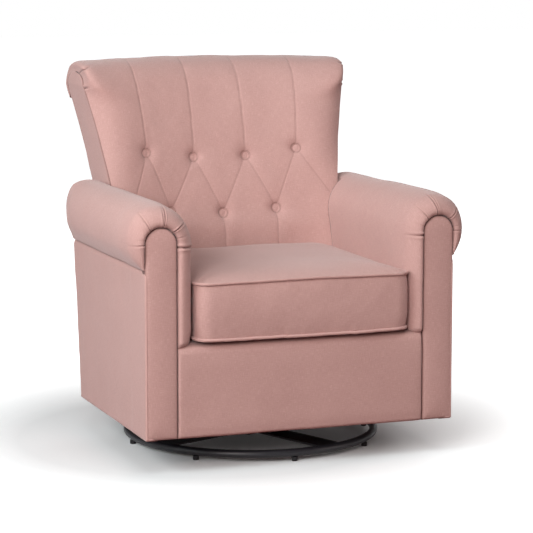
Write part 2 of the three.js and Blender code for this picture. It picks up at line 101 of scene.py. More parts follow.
class Wire:
    # one socket of a shader graph, with arithmetic
    def __init__(self, tree, socket=None):
        self.tree = tree
        self.socket = socket

    def make(self, kind, settings=None, sockets=None, out=0):
        made = self.tree.nodes.new(kind)
        for key, value in (settings or {}).items():
            setattr(made, key, value)
        for key, value in (sockets or {}).items():
            if isinstance(value, Wire):
                self.tree.links.new(value.socket, made.inputs[key])
            else:
                made.inputs[key].default_value = value
        return Wire(self.tree, made.outputs[out])

    def maths(self, operation, *values):
        return self.make("ShaderNodeMath", {"operation": operation}, dict(enumerate(values)))

    def __add__(self, other):
        return self.maths("ADD", self, other)

    __radd__ = __add__

    def __sub__(self, other):
        return self.maths("SUBTRACT", self, other)

    def __rsub__(self, other):
        return self.maths("SUBTRACT", other, self)

    def __mul__(self, other):
        return self.maths("MULTIPLY", self, other)

    __rmul__ = __mul__

    def __abs__(self):
        return self.maths("ABSOLUTE", self)

    def sine(self):
        return self.maths("SINE", self)

    def root(self):
        return self.maths("SQRT", self)

    def clamped(self):
        return self.make("ShaderNodeClamp", None, {"Value": self})

    def parts(self):
        split = self.make("ShaderNodeSeparateXYZ", None, {0: self})
        made = split.socket.node
        return [Wire(self.tree, made.outputs[i]) for i in range(3)]

    def noise(self, scale, detail=2.0, roughness=0.5):
        values = {"Vector": self, "Scale": scale, "Detail": detail, "Roughness": roughness}
        return self.make("ShaderNodeTexNoise", None, values)

    def stretched(self, factors):
        values = {0: self, 1: factors}
        return self.make("ShaderNodeVectorMath", {"operation": "MULTIPLY"}, values)

    def tint(self, first, second):
        # a colour between two others, by this value
        values = {"Factor": self, 6: first, 7: second}
        return self.make("ShaderNodeMix", {"data_type": "RGBA"}, values, 2)


def newMaterial(name):
    # the material, a wire with the place on the piece, and the shader
    material = bpy.data.materials.new(name)
    material.use_nodes = True
    tree = material.node_tree
    return material, Wire(tree).make("ShaderNodeTexCoord", None, None, 3), tree.nodes["Principled BSDF"]


def put(shader, key, value):
    # a socket of the shader, from a number, a colour or a wire
    if isinstance(value, Wire):
        value.tree.links.new(value.socket, shader.inputs[key])
    else:
        shader.inputs[key].default_value = value


def colour(red, green, blue):
    return (red, green, blue, 1.0)


def emboss(shader, strength, distance, height):
    settings = {"Strength": strength, "Distance": distance, "Height": height}
    put(shader, "Normal", height.make("ShaderNodeBump", None, settings))


weave = {
    "thread": 0.00085,  # spacing of the yarns, metres
    "light": colour(0.620, 0.384, 0.350),
    "dark": colour(0.445, 0.252, 0.226),
    "slubLight": colour(0.690, 0.460, 0.425),
    # dark colour for thread and for painted shade in seams and creases
    "seam": colour(0.150, 0.066, 0.056),
    "lift": 0.00028,  # height of the yarns, metres
}


def makeWeave():
    material, place, shader = newMaterial("pink_linen_weave")
    flat = place.make("ShaderNodeUVMap", {"uv_map": "cloth"})
    across, along, _ = flat.parts()
    warp = (across * (math.pi / weave["thread"])).sine()
    weft = (along * (math.pi / weave["thread"])).sine()
    over = (warp * weft * 2.5 + 0.5).clamped()
    height = over * abs(warp) + (1 - over) * abs(weft)
    slubUp = flat.stretched((760.0, 70.0, 1.0)).noise(1.0, 3.0, 0.6)
    slubAcross = flat.stretched((70.0, 760.0, 1.0)).noise(1.0, 3.0, 0.6)
    mottle = flat.noise(380.0, 3.0, 0.65)
    drift = flat.noise(7.0, 2.0, 0.5)
    yarn = (slubUp * 0.40 + slubAcross * 0.40 + mottle * 0.20 - 0.5) * 3.4 + 0.5
    shade = (height * 0.30 + yarn * 0.60 + (drift - 0.5) * 0.35).clamped()
    base = shade.tint(weave["dark"], weave["light"])
    bright = ((slubUp + slubAcross - 1.14) * 3.0).clamped()
    woven = (bright * 0.6).tint(base, weave["slubLight"])
    # thread in the sewn lines, and painted shade in seams, creases, gaps and recesses
    seam = place.make("ShaderNodeAttribute", {"attribute_name": "seam"}, None, 2)
    put(shader, "Base Color", seam.clamped().tint(woven, weave["seam"]))
    put(shader, "Roughness", 0.93 - 0.10 * height)
    put(shader, "Specular IOR Level", 0.22)
    put(shader, "Sheen Weight", 0.30)
    put(shader, "Sheen Roughness", 0.50)
    put(shader, "Sheen Tint", colour(1.0, 0.98, 0.98))
    emboss(shader, 0.55, weave["lift"], height * 0.6 + (slubUp + slubAcross) * 0.7)
    return material


def makeLining():
    material, place, shader = newMaterial("black_lining_cloth")
    x, y, _ = place.parts()
    dots = (x * 2400.0).sine() * (y * 2400.0).sine()
    fibre = place.noise(420.0, 4.0, 0.7)
    mix = (dots * 0.25 + fibre * 0.9).clamped()
    put(shader, "Base Color", mix.tint(colour(0.018, 0.018, 0.020), colour(0.060, 0.060, 0.065)))
    put(shader, "Roughness", 0.9 + 0.08 * fibre)
    put(shader, "Sheen Weight", 0.2)
    emboss(shader, 0.6, 0.0003, dots * 0.5 + fibre)
    return material


def makeWood():
    material, place, shader = newMaterial("sawn_hardwood")
    grain = place.stretched((9.0, 90.0, 90.0))
    rings = grain.noise(1.0, 6.0, 0.6)
    pores = place.stretched((60.0, 900.0, 900.0)).noise(1.0, 3.0, 0.6)
    lines = ((rings * 34.0).sine() * 0.5 + 0.5) * 0.6 + pores * 0.5
    put(shader, "Base Color", lines.clamped().tint(colour(0.40, 0.225, 0.095), colour(0.66, 0.44, 0.22)))
    put(shader, "Roughness", 0.66 + 0.2 * pores)
    emboss(shader, 0.5, 0.0006, lines * 0.5 + pores * 0.5)
    return material


metals = {
    # slot: name, dark, light, roughness from and to, metallic, height and fineness of the grain
    "black_steel": (
        "black_powder_coat", (0.01, 0.01, 0.013), (0.022, 0.022, 0.028), (0.30, 0.50), 0.0, 0.00015, 900.0,
    ),
    "plated_steel": ("zinc_plate", (0.42, 0.43, 0.45), (0.66, 0.67, 0.7), (0.24, 0.44), 1.0, 0.00008, 500.0),
    "spring_wire": (
        "oiled_spring_wire", (0.10, 0.105, 0.11), (0.24, 0.25, 0.26), (0.30, 0.50), 1.0, 0.00008, 700.0,
    ),
    "rubber_foot": (
        "black_rubber", (0.008, 0.008, 0.010), (0.020, 0.020, 0.022), (0.75, 0.92), 0.0, 0.0002, 600.0,
    ),
}


def makeMetal(name, dark, light, roughness, metallic, lift, scale):
    material, place, shader = newMaterial(name)
    fine = place.noise(scale, 3.0, 0.6)
    broad = place.noise(9.0, 3.0, 0.5)
    mix = (fine * 0.5 + broad * 0.5).clamped()
    put(shader, "Base Color", mix.tint(colour(*dark), colour(*light)))
    put(shader, "Roughness", roughness[0] + (roughness[1] - roughness[0]) * broad)
    put(shader, "Metallic", metallic)
    emboss(shader, 0.5, lift, fine)
    return material


materials = {"upholstery": makeWeave(), "lining_cloth": makeLining(), "hardwood": makeWood()}
for metalSlot, metalLook in metals.items():
    materials[metalSlot] = makeMetal(*metalLook)


def coat(piece, slotName):
    piece.data.materials.clear()
    piece.data.materials.append(materials[slotName])


def smoothShade(piece):
    piece.data.polygons.foreach_set("use_smooth", [True] * len(piece.data.polygons))


# cloth covers are grids of points in millimetres, with y from the swivel's axis
swivelY = -34.602  # the swivel's axis in the row frame


def lengths(points):
    # length run at each point of a line
    steps = np.linalg.norm(np.diff(points, axis=0), axis=1)
    return np.concatenate([[0], np.cumsum(steps)])


def smoothLine(points, count):
    # a smooth curve through the points, at even spacing
    p = np.array(points, float)
    knots = lengths(p)
    slopes = np.gradient(p, knots, axis=0)
    dense = np.linspace(0, knots[-1], count * 12)
    i = np.clip(np.searchsorted(knots, dense, side="right") - 1, 0, len(p) - 2)
    h = (knots[i + 1] - knots[i])[:, None]
    t = (dense - knots[i])[:, None] / h
    fine = (
        (2 * t**3 - 3 * t**2 + 1) * p[i]
        + (t**3 - 2 * t**2 + t) * h * slopes[i]
        + (3 * t**2 - 2 * t**3) * p[i + 1]
        + (t**3 - t**2) * h * slopes[i + 1]
    )
    return evenLine(fine, count)


def evenLine(points, count):
    p = np.array(points, float)
    run = lengths(p)
    want = np.linspace(0, run[-1], count)
    return np.stack([np.interp(want, run, p[:, k]) for k in range(p.shape[1])], axis=1)


def ease(value, low, high):
    t = np.clip((np.asarray(value, float) - low) / (high - low), 0, 1)
    return t * t * (3 - 2 * t)


def bell(away, width, power=2):
    return np.exp(-(np.abs(away / width) ** power))


def columns(*values):
    # one row of a grid, from its x, y and z
    return np.stack(np.broadcast_arrays(*values), axis=1)


def wobble(points, size, height, seed):
    # soft unevenness, one number for each point
    flat = points.reshape(-1, 3)
    shift = Vector((seed * 7.31, seed * 3.17, seed * 5.03))
    made = [noise.noise(Vector(p) / size + shift) for p in flat.tolist()]
    return height * np.array(made).reshape(points.shape[:-1])


def gridNormals(grid):
    down = np.gradient(grid, axis=0)
    over = np.gradient(grid, axis=1)
    normal = np.cross(over, down)
    return normal / np.maximum(np.linalg.norm(normal, axis=2, keepdims=True), 1e-9)


def pushed(grid, amount, outward):
    # the grid moved along its normals; outward is a point that the normals point away from
    normal = gridNormals(grid)
    away = grid - np.array(outward, float)
    sign = 1.0 if np.sum(normal * away) > 0 else -1.0
    return grid + sign * normal * amount[..., None]


def clothUv(grid):
    over = np.linalg.norm(np.diff(grid, axis=1), axis=2)
    down = np.linalg.norm(np.diff(grid, axis=0), axis=2)
    u = np.concatenate([np.zeros((len(grid), 1)), np.cumsum(over, axis=1)], axis=1)
    v = np.concatenate([np.zeros((1, grid.shape[1])), np.cumsum(down, axis=0)], axis=0)
    middle = grid.shape[1] // 2
    return u - u[:, middle, None], v


def addQuads(build, grid, uvLayer, uv, facesOut, seam=None):
    # the grid as quads; facesOut says from the corners in order whether they face outwards
    rows, cols = grid.shape[:2]
    points = (grid.reshape(-1, 3) + (0, swivelY, 0)) / 1000
    made = [build.verts.new(p) for p in points.tolist()]
    if seam is not None:
        layer = build.verts.layers.float["seam"]
        for vert, shade in zip(made, seam.reshape(-1).tolist()):
            vert[layer] = shade
    quads = []
    for r in range(rows - 1):
        for c in range(cols - 1):
            quads.append(((r, c), (r, c + 1), (r + 1, c + 1), (r + 1, c)))
    sample = quads[:: max(1, len(quads) // 400)]
    corners = [[made[r * cols + c].co for r, c in keys] for keys in sample]
    outwards = facesOut(corners)
    u, v = uv
    for keys in quads:
        if not outwards:
            keys = keys[::-1]
        face = build.faces.new([made[r * cols + c] for r, c in keys])
        face.smooth = True
        for loop, k in zip(face.loops, keys):
            loop[uvLayer].uv = (u[k] / 1000, v[k] / 1000)


def awayFrom(inside):
    middle = Vector((inside[0], inside[1] + swivelY, inside[2])) / 1000

    def facesOut(corners):
        turn = 0.0
        for a, b, c, d in corners:
            turn += (c - a).cross(d - b).dot((a + c) / 2 - middle)
        return turn >= 0

    return facesOut


def meshPiece(name, build, merge):
    # the built mesh as an object; merge is in millimetres
    bmesh.ops.remove_doubles(build, verts=build.verts, dist=merge / 1000)
    mesh = bpy.data.meshes.new(name)
    build.to_mesh(mesh)
    build.free()
    mesh.materials.append(materials["upholstery"])
    return newObject(name, mesh)


def clothPiece(name, grids, inside, merge=0.02, mirror=False):
    # one mesh from one or more grids
    build = bmesh.new()
    uvLayer = build.loops.layers.uv.new("cloth")
    # a layer for thread and painted shade along seams, creases and gaps
    build.verts.layers.float.new("seam")
    side = -1 if mirror else 1
    facesOut = awayFrom((inside[0] * side, inside[1], inside[2]))
    for item in grids:
        grid, uv, seam = item if isinstance(item, tuple) else (item, None, None)
        grid = grid * (side, 1, 1)
        addQuads(build, grid, uvLayer, uv if uv is not None else clothUv(grid), facesOut, seam)
    return meshPiece(name, build, merge)


def finishCloth(piece, fill, *replaced):
    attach(piece, "seat")
    if replaced:
        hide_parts(*replaced)


arm = {
    "outline": [  # x and z of the rolled arm, from the inner foot over the top to the tip of the roll
        (259, 262), (259, 300), (259, 360), (258.5, 430), (257.5, 480), (256.5, 512), (259, 540),
        (267, 562), (279, 580), (295, 594), (313, 602.5), (334, 606), (354, 603.5), (372, 596),
        (388, 583), (399, 565), (405.5, 545), (407, 525), (404, 506), (397, 492), (389, 481),
        (382, 473), (376.5, 467),
    ],
    "notch": [  # where the roll's tip is tucked in under it
        (374.5, 464.6), (370.5, 463.4), (366.6, 462.6), (366.2, 460.8), (368.4, 457.5), (370.2, 451),
    ],
    "foot": [(370, 86), (369, 83), (366, 82.2), (340, 82.2)],
    "sideX": 370.2,  # x of the flat side panel
    "archCentre": (332.5, 519.5),
    "archRadius": 37.5,
    "facingEdge": -337.0,  # y where the lip tucks behind the facing
    "lipStart": -308.0,  # y where the roll ends and the lip begins
    "lipSwell": 24.0,
    "lipRows": 26,
    "narrowing": 4.0,  # how much the roll narrows before its lip, and over what length
    "narrowLength": 66.0,
    "rearCore": (300, 500),  # where the rear end is drawn together, x and greatest z
    "inside": (320, -60, 400),  # a point in the padding
}


def armRear(z):
    return 190 + 0.126 * (z - 82)


def armOutline():
    roll = smoothLine(arm["outline"], 430)
    tip = np.array(arm["notch"], float)
    side = np.linspace(tip[-1], arm["foot"][0], 90)[1:]
    foot = np.array(arm["foot"][1:], float)
    return np.concatenate([roll, tip, side, foot]), len(roll)


def facingPoint(x, z):
    # the point on the facing's edge that the lip runs to
    centreX, centreZ = arm["archCentre"]
    radius = arm["archRadius"]
    if z >= centreZ:
        angle = math.atan2(z - centreZ, centreX - x)
        return centreX - radius * math.cos(angle), centreZ + radius * math.sin(angle)
    if x < centreX:
        return centreX - radius, z
    return centreX + radius - 0.5, z


# pleats round the arch: degrees from the inner side, depth, width, length, and the slant on the left
# and the right arm
pleats = [
    (84, 3.4, 1.8, 66, -0.10, -0.10), (88, 2.2, 1.6, 58, -0.10, -0.10), (131, 3.0, 1.9, 50, -0.24, 0.12),
    (178, 2.2, 1.8, 38, 0.10, 0.05), (47, 3.4, 1.9, 56, -0.28, 0.10), (21, 1.0, 2.2, 38, -0.15, 0.0),
    (-5, 4.2, 2.2, 58, -0.06, 0.0), (163, 0.9, 2.2, 32, 0.15, 0.1),
]


def lipRows(outline, edge, side, mirror):
    # the lip, from behind the facing's edge out to the roll; also where the roll starts and narrows
    away = edge - outline
    reach = np.linalg.norm(away, axis=1)
    aim = away / np.maximum(reach, 1e-6)[:, None]
    full = np.clip(reach / 38, 0, 1)
    # the inner roll of the lip ends behind the front border's top
    low = np.where(side, 1.0, ease(outline[:, 1], 268, 300))
    back = 14 * (1 - low)
    start = arm["facingEdge"] + (arm["lipStart"] - arm["facingEdge"]) * full + back
    start[side] = -338.0
    swell = arm["lipSwell"] * full**0.8 * (0.25 + 0.75 * low)
    swell[side] = 7.0 - 4.0 * ease(outline[side, 1], 440, 462)
    narrow = arm["narrowing"] * full * low * ~side
    if mirror:
        narrow *= ease(outline[:, 0], 262, 330)
    front = outline + aim * narrow[:, None]
    rows = []
    for turn in np.linspace(math.pi, 0, arm["lipRows"]):
        mix = 0.85 * (1 - math.cos(turn)) / 2 + 0.15 * math.sin(turn / 2)
        flat = front + (edge - front) * mix
        y = start + (arm["facingEdge"] + back - start) * mix - swell * math.sin(turn)
        rows.append(columns(flat[:, 0], y, flat[:, 1]))
    return rows, start, aim * narrow[:, None], reach


def rearRows(last, outline, side, rear, corner):
    # the rear end turns over a corner and is drawn together
    coreX, coreZ = arm["rearCore"]
    core = columns(282.0, rear, np.minimum(outline[:, 1], coreZ))
    core[~side, 0] = coreX
    toCore = core - last
    toCore[:, 1] = 0
    toCore /= np.maximum(np.linalg.norm(toCore, axis=1, keepdims=True), 1e-6)
    rows = []
    for turn in np.linspace(0, math.pi / 2, 7)[1:]:
        row = last + toCore * (corner * (1 - math.cos(turn)))[:, None]
        row[:, 1] = last[:, 1] + corner * math.sin(turn)
        rows.append(row)
    bend = rows[-1]
    for mix in np.linspace(0, 1, 7)[1:]:
        row = bend + (core - bend) * mix
        row[:, 1] = rear + 2.5 * math.sin(math.pi * mix)
        rows.append(row)
    return rows


def foldPleats(outline, rollCount, behind, shape, mirror):
    # how far each point of the roll is pushed in or out by the pleats, and their painted shade
    centreX, centreZ = arm["archCentre"]
    roll = outline[:rollCount]
    angle = np.degrees(np.arctan2(roll[:, 1] - centreZ, centreX - roll[:, 0]))
    angle = np.where(angle < -100, angle + 360, angle)
    order = np.argsort(angle)
    run = lengths(outline)
    push = np.zeros(shape)
    seam = np.zeros(shape)
    for place, depth, width, lasting, slantLeft, slantRight in pleats:
        slant = slantLeft if mirror else slantRight
        lasting *= 1.0 if mirror or place > 60 else 0.74
        centre = np.interp(place, angle[order], run[:rollCount][order])
        for r, length in enumerate(behind):
            if length > lasting * 2:
                break
            away = run - centre - slant * length
            fade = depth * math.exp(-((length / lasting) ** 3)) * min(1.0, 0.45 + r / 12)
            push[r] -= fade * bell(away, width, 1.25)
            push[r] += 0.40 * fade * bell(np.abs(away) - 2.5 * width, 1.5 * width)
            push[r] += 0.30 * fade * np.exp(-np.clip(away, 0, None) / 9) * (away > 0)
            # painted shade down the pleat's crease
            seam[r] += 0.22 * fade * bell(away, 1.3)
    return push, seam


def makeArm(mirror):
    name = "left" if mirror else "right"
    outline, rollCount = armOutline()
    side = np.arange(len(outline)) >= rollCount
    edge = np.array([facingPoint(x, z) for x, z in outline])
    edge[side, 0] = 363.5
    edge[outline[:, 1] < 83.5, 1] = 90
    rows, start, narrowed, reach = lipRows(outline, edge, side, mirror)
    # corner radius at the rear, larger on the roll than on the flat side
    corner = np.where(side, 10.0, 10 + 26 * ease(outline[:, 1], 480, 600))
    rear = armRear(outline[:, 1])
    # distance of each row behind the facing, for the pleats
    behind = [r * 2.5 for r in range(arm["lipRows"])]
    for s in np.concatenate([np.linspace(0, 0.14, 16)[1:], np.linspace(0.14, 1, 70)[1:]]):
        y = start + (rear - corner - start) * s
        less = (1 - np.clip((y - start) / arm["narrowLength"], 0, 1)) ** 2
        x, z = (outline + narrowed * less[:, None]).T
        q = np.clip((y - 60) / (rear - 60), 0, 1)
        out = x > arm["sideX"]
        x[out] = arm["sideX"] + (x[out] - arm["sideX"]) * np.sqrt(1 - q[out] ** 2.4)
        rows.append(columns(x, y, z))
        behind.append(65 + s * 560)
    rows += rearRows(rows[-1], outline, side, rear, corner)
    grid = np.array(rows)
    push, seam = foldPleats(outline, rollCount, behind, grid.shape[:2], mirror)
    push *= np.clip(reach / 20, 0, 1)[None, :]
    push[:, side] = 0
    push += wobble(grid, 95, 1.6, 3 if mirror else 4) * np.clip(np.arange(len(rows)) / 20, 0, 1)[:, None]
    push += wobble(grid, 34, 0.5, 8 if mirror else 9)
    push[:, -4:] = 0
    push[:44, side] = np.maximum(push[:44, side], 0.6)
    x, y, z = grid[..., 0], grid[..., 1], grid[..., 2]
    if mirror:
        # padding swells the inner side behind the facing
        fuller = bell(y + 318, 75) * (1 - ease(x, 262, 292))
        push += 4.5 * fuller * ease(z, 290, 330) * (1 - ease(z, 500, 570))
    # the cover is pulled down beside the back
    beside = y - backFront(x, z)
    inner = (x < 300) & (z > 400)
    push -= 3.0 * bell(beside, 8) * inner
    # painted shade in the line where the arm's cover meets the back
    seam += bell(beside + 2, 4.2) * inner
    # painted shade: a dark line under the roll's tip, and on the lip where it tucks behind the facing
    notch = bell(outline[:, 1] - 463, 1.8) * (outline[:, 0] > 360)
    seam += notch[None, :] * 0.8
    seam[:6] += np.linspace(0.9, 0.0, 6)[:, None] * ~side
    # softer shade where the lip turns in round the arch
    shade = bell(np.arange(len(rows)), 13)[:, None]
    seam += 0.15 * shade * (ease(outline[:, 1], 470, 545) * ~side)[None, :]
    if not mirror:
        grid[..., 2] -= 6 * ease(y, -150, 220) * ease(z, 480, 590)
    grid = pushed(grid, push, arm["inside"])
    piece = clothPiece(f"{name}_arm_cover", [(grid, None, seam)], arm["inside"], mirror=mirror)
    finishCloth(piece, 0.7, f"{name}_arm_pad")


facing = {
    "centreX": 332.5,
    "halfWidth": 37.3,
    "archZ": 519.5,
    "foot": 82.3,
    # inset from the edge and how far forward, millimetres
    "steps": [
        (0.3, -322), (0, -336), (0.7, -340.5), (2.2, -343), (5, -344.6), (9, -345.6), (15, -346.4),
        (22, -347), (30, -347.4), (37.3, -347.5),
    ],
}


def facingRing(inset):
    radius = facing["halfWidth"] - inset
    archZ = facing["archZ"]
    foot = facing["foot"] + inset
    turns = np.linspace(0, math.pi, 37)[1:]
    climb = [foot + (archZ - foot) * t for t in np.linspace(0, 1, 61)]
    low = [(-radius + 2 * radius * t, foot) for t in np.linspace(0, 1, 17)]
    up = [(radius, z) for z in climb[1:]]
    arch = [(radius * math.cos(a), archZ + radius * math.sin(a)) for a in turns]
    down = [(-radius, z) for z in climb[-2::-1]]
    return np.array(low + up + arch + down)


def makeFacing(mirror):
    name = "left" if mirror else "right"
    rows = []
    for inset, y in facing["steps"]:
        ring = facingRing(inset)
        rows.append(columns(facing["centreX"] + ring[:, 0], float(y), ring[:, 1]))
    grid = np.array(rows)
    swell = wobble(grid, 60, 0.8, 21 if mirror else 22)
    swell[:2] = 0
    grid[..., 1] -= swell
    uv = (grid[..., 0], grid[..., 2])
    seam = np.zeros(grid.shape[:2])
    # painted shade along the facing's edge, where it tucks in beside the lip and the arm
    seam[:4] = np.array([1.0, 1.0, 0.75, 0.25])[:, None]
    inside = (facing["centreX"], 200, 320)
    piece = clothPiece(f"{name}_arm_facing_panel", [(grid, uv, seam)], inside, 0.05, mirror)
    finishCloth(piece, 0.8, f"{name}_arm_facing")


border = {
    "halfWidth": 293.6,
    # y and z from the underside up the front and back over the rolled top
    "line": [
        (-300, 82.4), (-330, 82.4), (-340, 82.8), (-344.5, 86), (-345.8, 94), (-346.4, 140),
        (-346.8, 200), (-346.2, 260), (-344.4, 277), (-338.4, 288), (-328, 293.4), (-316, 294.6),
        (-299, 295),
    ],
}


def makeBorder():
    line = smoothLine(border["line"], 96)
    half = border["halfWidth"]
    rim = np.array([0, 0, 0.8, 2, 4.5, 9])
    across = np.concatenate([rim - half, np.linspace(16 - half, half - 16, 100), half - rim[::-1]])
    # both ends turn in
    turned = [22, 5, 2.6, 1.3, 0.5, 0.1]
    tuck = np.array(turned + [0] * 100 + turned[::-1], float)
    grid = np.zeros((len(line), len(across), 3))
    grid[..., 0] = across[None, :]
    grid[..., 1] = line[:, 0][:, None]
    grid[..., 2] = line[:, 1][:, None]
    front = line[:, 0] < -338
    grid[front, :, 1] += tuck[None, :]
    push = wobble(grid, 120, 1.5, 31) + wobble(grid, 40, 0.4, 32)
    push[:, :6] *= 0.2
    push[:, -6:] *= 0.2
    grid = pushed(grid, push, (0, 0, 150))
    # shade under the cushion
    shade = 0.85 * ease(line[:, 1], 284, 294) * (line[:, 0] > -343)
    seam = np.repeat(shade[:, None], len(across), axis=1)
    piece = clothPiece("front_border_panel", [(grid, None, seam)], (0, -100, 180))
    finishCloth(piece, 0.6, "front_border")


back = {
    "foot": 396.0,
    "step": 2.6,
    "centreLine": [  # z and y of the front at the middle
        (380, 160), (430, 168), (487, 176), (522, 189), (590, 204.5), (651, 218), (700, 229),
        (750, 243), (790, 257), (822, 271.5), (834, 278),
    ],
    "crest": [  # y and z over the top, from the front to the rear, at the middle
        (275, 829), (283, 843), (294, 856.5), (309, 870), (328, 881), (350, 888), (372, 890.5),
        (392, 888.5), (408, 881), (418, 866), (422, 847), (420, 826), (415, 806), (407, 795),
    ],
    "strip": [  # the same places on the end of the roll
        (251, 827), (256, 838), (265, 848), (279, 855.5), (296, 860), (315, 861.5), (334, 861),
        (353, 858.5), (371, 854), (386, 847), (396, 837), (401, 825), (403, 811), (403, 797),
    ],
    "crestRows": 60,
    "overhang": 2.2,  # how far the cover passes the back's half width
    "seamReach": 120.0,  # the front bends to its side seams over this width
    # x and z of the buttons and of the sewn lines between them
    "upper": [(67, 653.5), (191.5, 669)],
    "lower": [(0, 518), (135, 525)],
    "topSeams": [((67, 653.5), (65, 905)), ((191.5, 669), (209, 905))],
    "seams": [
        ((191.5, 669), (135, 525)), ((67, 653.5), (135, 525)), ((67, 653.5), (0, 518)),
        ((135, 525), (135, 390)), ((0, 518), (0, 390)),
    ],
    "outerSeams": [(-232, 560), (268, 560)],  # where the two outermost seams end
    "dimple": (13.0, 24.0),  # depth and reach
}


def halfWidthAt(z):
    return 287 + 46 * np.clip((z - 560) / 270, 0, 1) ** 1.3


def seamAt(z):
    return 172 + 0.34 * (z - 600)


def backRear(z):
    return 196 + 0.2937 * (z - 82)


def middleAt(z):
    # y of the front at the middle
    fine = smoothLine(back["centreLine"], 200)
    return np.interp(z, fine[:, 0], fine[:, 1])


def bendAt(z):
    return 0.00028 + 0.00042 * np.clip((z - 430) / 230, 0, 1)


def backFront(x, z):
    # the back's unquilted front
    half = halfWidthAt(z) + back["overhang"]
    t = np.clip((np.abs(x) - (half - back["seamReach"])) / back["seamReach"], 0, 1)
    y = middleAt(z) - bendAt(z) * x**2
    return y + (seamAt(z) - y) * t**2.0


def seamDistance(x, z, first, second):
    # distance from a seam on the back's front
    dx = second[0] - first[0]
    dz = second[1] - first[1]
    fromX = x - first[0]
    fromZ = z - first[1]
    inside = np.clip((fromX * dx + fromZ * dz) / (dx**2 + dz**2), 0, 1)
    return np.hypot(fromX - inside * dx, fromZ - inside * dz)


def backGrid():
    zs = np.arange(back["foot"], 826, back["step"])
    crestRows = back["crestRows"]
    crest = smoothLine(back["crest"], crestRows)
    strip = smoothLine(back["strip"], crestRows)
    centre = np.concatenate([columns(middleAt(zs), zs), crest])
    edge = np.concatenate([columns(seamAt(zs), zs), strip])
    onTop = np.concatenate([np.zeros(len(zs)), np.linspace(0, 1, crestRows)])
    shares = np.linspace(-1, 1, 300)
    # closer together towards the sides
    shares = np.sign(shares) * (1 - (1 - np.abs(shares)) ** 1.35)
    rows = []
    for i, (middle, z) in enumerate(centre):
        half = halfWidthAt(z) + back["overhang"]
        x = shares * half
        bend = bendAt(z) * (1 - ease(onTop[i], 0.25, 0.92))
        turning = ease(i, len(zs) - 20, len(zs) + 22)
        reachIn = back["seamReach"] - 95 * turning
        t = np.clip((np.abs(x) - (half - reachIn)) / reachIn, 0, 1)
        mix = t ** (2.0 + 1.0 * turning)
        # towards the top the cover goes out first and then turns down over a tighter corner
        outward = (1 - (1 - t) ** 2.8 - t) * turning * reachIn
        bulge = 4.0 * turning**2 * (1 - 0.7 * ease(onTop[i], 0.45, 0.75))
        outward = outward + bulge * bell(t - 0.66, 0.22)
        x = x + np.sign(x) * outward
        y = middle - bend * x**2
        drop = np.clip(np.abs(x) / 333, 0, 1) ** 2 * 6.5 * onTop[i] ** 0.5
        yEdge, zEdge = edge[i]
        rows.append(columns(x, y + (yEdge - y) * mix, (z - drop) + (zEdge - z + drop) * mix))
    return np.array(rows), onTop, edge


def inwardOf(edge):
    # across the side strip, from its seam
    along = np.gradient(edge, axis=0)
    along /= np.linalg.norm(along, axis=1, keepdims=True)
    return columns(along[:, 1], -along[:, 0])


def tucked(grid, edge):
    # the cover turns in at both side seams
    inward = inwardOf(edge)
    sides = []
    for sign in (-1, 1):
        turned = []
        for across, into in ((0.3, 1.6), (2.2, 3.0), (8.0, 3.4)):
            point = grid[:, 0 if sign < 0 else -1].copy()
            point[:, 0] -= sign * across
            point[:, 1:] += inward * into
            turned.append(point[:, None])
        sides.append(turned)
    left, right = sides
    return np.concatenate([*left[::-1], grid, *right], axis=1)


def tuft(grid, onTop):
    signed = grid[..., 0]
    x = np.abs(signed)
    z = grid[..., 2]
    # past the crest the seams run on over the roll
    z = np.where(onTop[:, None] > 0, np.maximum(z, 826 + onTop[:, None] * 200), z)
    push = np.zeros(grid.shape[:2])
    sewnAndShade = np.zeros(grid.shape[:2])
    fade = np.where(onTop < 0.45, 1.0, np.clip(1 - (onTop - 0.45) / 0.2, 0, 1))[:, None]
    # the sewn lines, with thread and painted shade in their grooves
    for first, second in back["topSeams"]:
        away = seamDistance(x, z, first, second)
        push -= fade * (1.7 * bell(away, 1.9, 1.3) + 1.1 * bell(away, 15))
        sewnAndShade = np.maximum(sewnAndShade, 0.30 * fade * bell(away, 1.2))
    sewnLines = []
    for (x0, z0), (x1, z1) in back["seams"]:
        sewnLines += [((side * x0, z0), (side * x1, z1)) for side in (-1, 1)]
    upperX, upperZ = back["upper"][1]
    sewnLines += [((math.copysign(upperX, x1), upperZ), (x1, z1)) for x1, z1 in back["outerSeams"]]
    # the other sewn lines, also with thread and painted shade
    for first, second in sewnLines:
        away = seamDistance(signed, z, first, second)
        push -= 1.3 * bell(away, 1.8, 1.3) + 0.9 * bell(away, 15)
        sewnAndShade = np.maximum(sewnAndShade, 0.26 * bell(away, 1.1))
    depth, reachOut = back["dimple"]
    for spots in (back["upper"], back["lower"]):
        for bx, bz in spots:
            away = np.hypot(x - bx, z - bz)
            push -= depth * 0.45 * bell(away, 13)
            push -= depth * 0.55 * bell(away, reachOut, 1.6)
            # painted shade in a ring round each button's edge
            sewnAndShade = np.maximum(sewnAndShade, 0.60 * bell(away - 11.4, 1.3))
    push *= (onTop < 0.7)[:, None]
    # a tuck at the seam's upper end, and a fold where the cover wraps the corner, each with painted shade in
    # it
    run = lengths(grid[:, 0])
    fromEdge = np.minimum(np.abs(grid[..., 0] - grid[:, :1, 0]), np.abs(grid[..., 0] - grid[:, -1:, 0]))
    tuck = run[np.argmin(np.abs(grid[:, 0, 2] - 824) + 1000 * (onTop > 0))]
    fold = run[np.argmax(onTop > 0.24)]
    for place, depth, width, length in ((tuck, 5.0, 2.2, 6), (fold, 2.4, 2.4, 18)):
        away = (run - place)[:, None] - fromEdge * 0.35
        near = bell(fromEdge, length)
        push -= depth * near * bell(away, width, 1.5)
        push += 0.5 * depth * near * bell(np.abs(away) - 2.4 * width, 1.6 * width)
        sewnAndShade = np.maximum(sewnAndShade, 0.9 * near**2 * bell(away, 2.0))
    return push, sewnAndShade


